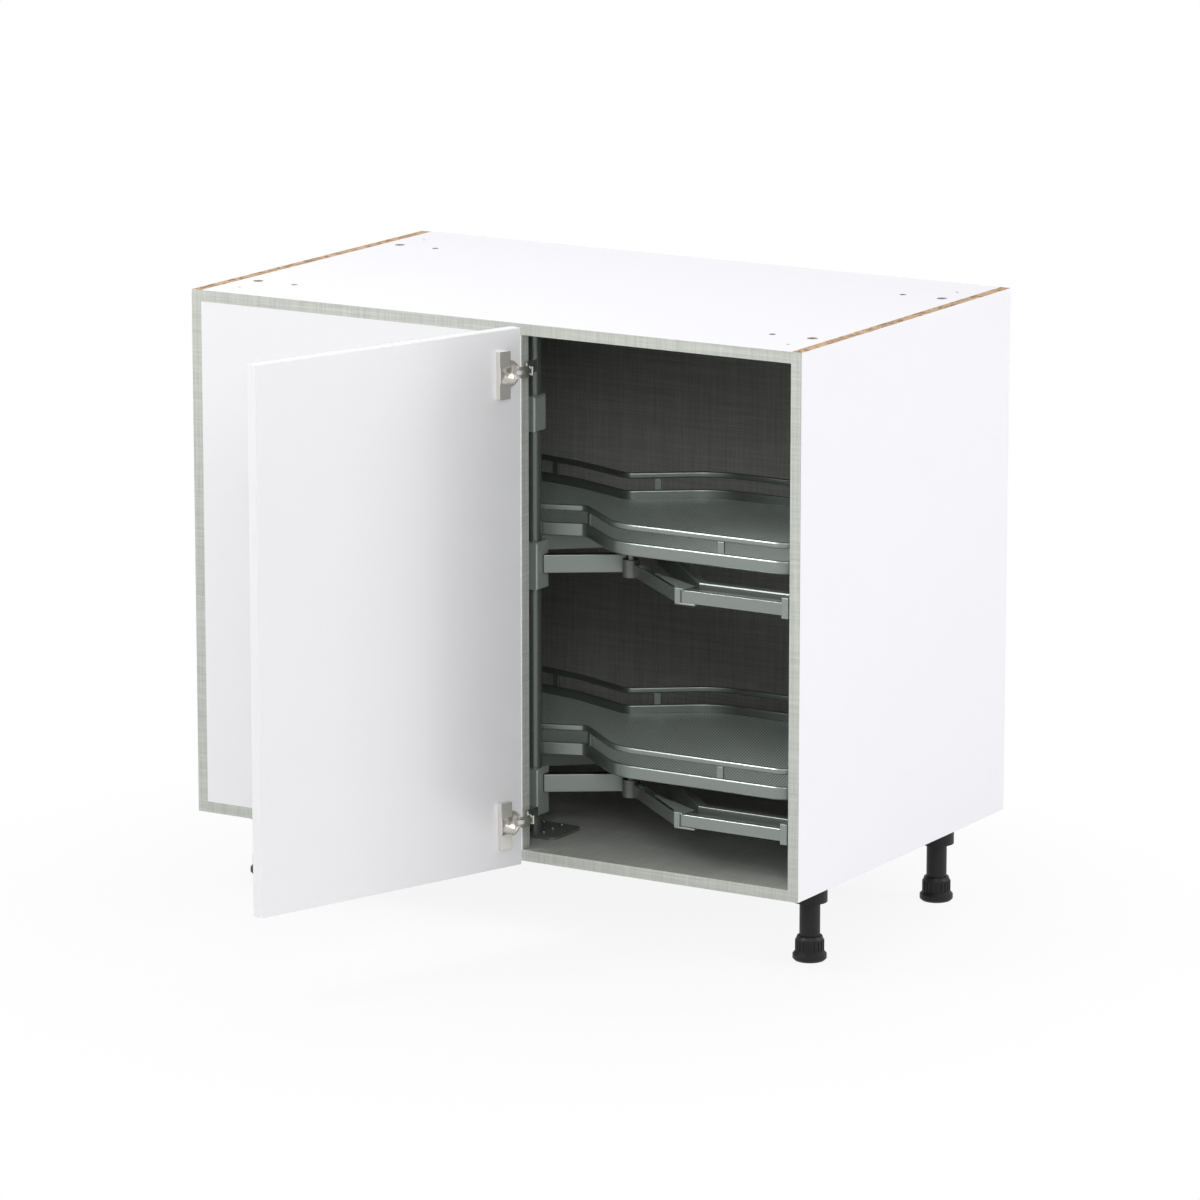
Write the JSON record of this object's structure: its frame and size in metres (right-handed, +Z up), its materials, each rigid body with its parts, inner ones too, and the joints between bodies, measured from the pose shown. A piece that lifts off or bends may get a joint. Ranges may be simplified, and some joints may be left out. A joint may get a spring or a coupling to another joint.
{
  "type": "blind corner base cabinet",
  "caption": "Frameless blind corner base cabinet on levelling legs, with a fixed blind panel, a hinged gloss door standing open and swing-out kidney trays on a pole.",
  "frame": {"origin": "on the floor under the middle of the overall box taken up by the carcass and the open door", "axes": "+Z up, -Y out of the front of the cabinet, +X to the right seen from the front"},
  "size_m": [0.99, 1.0542, 0.876],
  "materials": {
    "white_board": "white melamine outside, raw chipboard top edge",
    "grey_board": "linen grey melamine",
    "back_board": "dark grey board",
    "gloss_board": "high gloss white",
    "edge_band": "linen grey",
    "dowel_wood": "raw beech",
    "zinc": "dark zinc",
    "nickel": "satin nickel",
    "black_plastic": "moulded",
    "fitting_paint": "grey green satin",
    "pole_paint": "dark grey satin",
    "cream_plastic": "cream",
    "tray_board": "fine anti-slip texture"
  },
  "bodies": {
    "cabinet": {"side_panel_left": "white_board", "side_panel_right": "white_board", "top_panel": "white_board", "bottom_panel": "grey_board", "back_panel": "back_board", "blind_panel": "gloss_board", "edge_bands": "edge_band", "cam_discs": "zinc", "cam_bolts": "zinc", "wood_dowels": "dowel_wood", "leg_sockets": "black_plastic", "leg_tubes": "black_plastic", "leg_screws": "nickel", "hinge_arms": "nickel", "hinge_plates": "nickel", "hinge_plate_screws": "nickel", "hinge_arm_pins": "nickel", "pole": "pole_paint", "pole_floor_plate": "pole_paint", "pole_top_plate": "pole_paint", "pole_plate_screws": "nickel", "pole_stop_block": "pole_paint"},
    "hinge_link": {"hinge_links": "nickel"},
    "door": {"door_panel": "gloss_board", "hinge_cups": "nickel", "hinge_covers": "nickel", "hinge_cup_screws": "nickel", "hinge_cup_pins": "nickel"},
    "upper_tray": {"upper_sleeve": "fitting_paint", "upper_arm": "fitting_paint", "upper_hub_pin": "cream_plastic", "upper_front_rail": "fitting_paint", "upper_cradle": "fitting_paint", "upper_saddle": "fitting_paint", "upper_end_clip": "fitting_paint", "upper_end_cap": "black_plastic", "upper_spacers": "fitting_paint", "upper_tray_floor": "tray_board", "upper_tray_band": "fitting_paint", "upper_tray_posts": "fitting_paint", "upper_tray_rail": "fitting_paint"},
    "lower_tray": {"lower_sleeve": "fitting_paint", "lower_arm": "fitting_paint", "lower_hub_pin": "cream_plastic", "lower_front_rail": "fitting_paint", "lower_cradle": "fitting_paint", "lower_saddle": "fitting_paint", "lower_end_clip": "fitting_paint", "lower_end_cap": "black_plastic", "lower_spacers": "fitting_paint", "lower_tray_floor": "tray_board", "lower_tray_band": "fitting_paint", "lower_tray_posts": "fitting_paint", "lower_tray_rail": "fitting_paint"},
    "foot_front_left": {"foot_front_left": "black_plastic"},
    "foot_front_right": {"foot_front_right": "black_plastic"},
    "foot_back_left": {"foot_back_left": "black_plastic"},
    "foot_back_right": {"foot_back_right": "black_plastic"}
  },
  "joints": [
    {"name": "hinge_link_swing", "type": "hinge", "parent": "cabinet", "child": "hinge_link", "pos_m": [0.07387, -0.08305, 0.495], "axis": [0, 0, 1], "range_deg": [-52.17, 0]},
    {"name": "door_swing", "type": "hinge", "parent": "hinge_link", "child": "door", "pos_m": [0.05918, -0.10503, 0.495], "axis": [0, 0, -1], "range_deg": [-161.38, 0]},
    {"name": "upper_tray_swing", "type": "hinge", "parent": "cabinet", "child": "upper_tray", "pos_m": [0.021, 0.00607, 0.558], "axis": [0, 0, -1], "range_deg": [0, 60]},
    {"name": "lower_tray_swing", "type": "hinge", "parent": "cabinet", "child": "lower_tray", "pos_m": [0.021, 0.00607, 0.242], "axis": [0, 0, -1], "range_deg": [0, 60]},
    {"name": "foot_front_left_level", "type": "slide", "parent": "cabinet", "child": "foot_front_left", "axis": [0, 0, 1], "range_m": [-0.02, 0.005]},
    {"name": "foot_front_right_level", "type": "slide", "parent": "cabinet", "child": "foot_front_right", "axis": [0, 0, 1], "range_m": [-0.02, 0.005]},
    {"name": "foot_back_left_level", "type": "slide", "parent": "cabinet", "child": "foot_back_left", "axis": [0, 0, 1], "range_m": [-0.02, 0.005]},
    {"name": "foot_back_right_level", "type": "slide", "parent": "cabinet", "child": "foot_back_right", "axis": [0, 0, 1], "range_m": [-0.02, 0.005]}
  ],
  "couplings": [
    {"joint": "door_swing", "follows": "hinge_link_swing", "ratio": 3.093}
  ]
}
